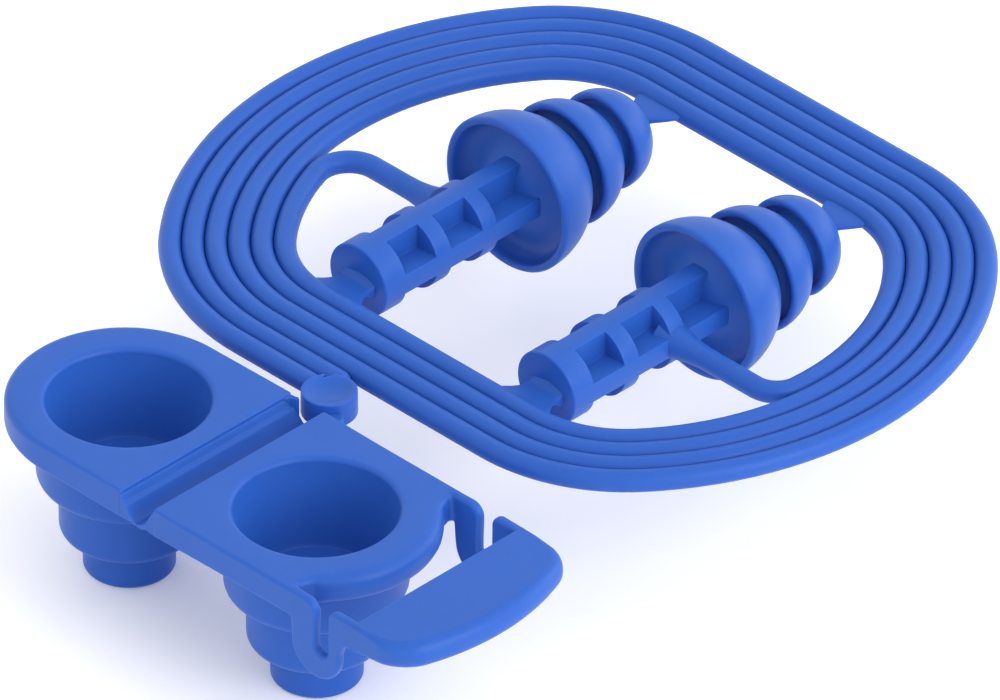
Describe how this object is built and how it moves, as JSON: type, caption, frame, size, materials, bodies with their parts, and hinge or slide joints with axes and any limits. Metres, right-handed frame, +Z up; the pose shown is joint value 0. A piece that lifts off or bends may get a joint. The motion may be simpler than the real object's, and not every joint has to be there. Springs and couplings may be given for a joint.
{
  "type": "corded triple-flange ear plug set with folding case",
  "caption": "Moulded corded ear plug set: flanged ear plugs on cords wound flat in one double spiral, beside an open folding cup case with a living hinge and a strap latch.",
  "frame": {"origin": "bottom centre of everything but the two cords: the middle of the case, plugs and tabs in X and Y, and the underside of the cup feet in Z", "axes": "+X runs along the open case from its lid to its latch flap, +Y runs along the plugs from grip to nose, away from the case, and +Z is up, out of the cups"},
  "size_m": [0.0618, 0.0715, 0.0199],
  "materials": {
    "case_elastomer": "satin, as moulded",
    "cup_elastomer": "satin, as moulded",
    "strap_elastomer": "satin, flexed thin",
    "plug_elastomer": "satin, as moulded",
    "cord_elastomer": "satin, as moulded",
    "tab_elastomer": "satin, as moulded"
  },
  "bodies": {
    "case_base": {"base_plate": "case_elastomer", "base_cup": "cup_elastomer", "cord_button": "cord_elastomer", "button_neck": "tab_elastomer", "cord_a": "cord_elastomer", "cord_b": "cord_elastomer", "plug_a_tip_tab": "tab_elastomer", "plug_b_tip_tab": "tab_elastomer", "plug_a_grip_tab": "tab_elastomer", "plug_b_grip_tab": "tab_elastomer"},
    "hinge_link": {"hinge_web": "strap_elastomer"},
    "case_lid": {"lid_plate": "case_elastomer", "lid_cup": "cup_elastomer"},
    "latch": {"latch_flap": "case_elastomer", "strap_front": "strap_elastomer", "strap_rear": "strap_elastomer"},
    "plug_a": {"plug_a_grip": "plug_elastomer", "plug_a_core": "plug_elastomer", "plug_a_rear_flange": "plug_elastomer", "plug_a_middle_flange": "plug_elastomer", "plug_a_nose_flange": "plug_elastomer"},
    "plug_b": {"plug_b_grip": "plug_elastomer", "plug_b_core": "plug_elastomer", "plug_b_rear_flange": "plug_elastomer", "plug_b_middle_flange": "plug_elastomer", "plug_b_nose_flange": "plug_elastomer"}
  },
  "joints": [
    {"name": "web_fold", "type": "hinge", "parent": "case_base", "child": "hinge_link", "pos_m": [-0.00333, -0.02279, 0.01342], "axis": [0, 1, 0], "range_deg": [0, 90]},
    {"name": "lid_fold", "type": "hinge", "parent": "hinge_link", "child": "case_lid", "pos_m": [-0.00634, -0.02279, 0.01342], "axis": [0, 1, 0], "range_deg": [0, 90]},
    {"name": "latch_fold", "type": "hinge", "parent": "case_base", "child": "latch", "pos_m": [0.01307, -0.02279, 0.0136], "axis": [0, -1, 0], "range_deg": [0, 80]},
    {"name": "plug_a_lift", "type": "slide", "parent": "case_base", "child": "plug_a", "axis": [0, 0, 1], "range_m": [0, 0.012]},
    {"name": "plug_b_lift", "type": "slide", "parent": "case_base", "child": "plug_b", "axis": [0, 0, 1], "range_m": [0, 0.012]}
  ]
}
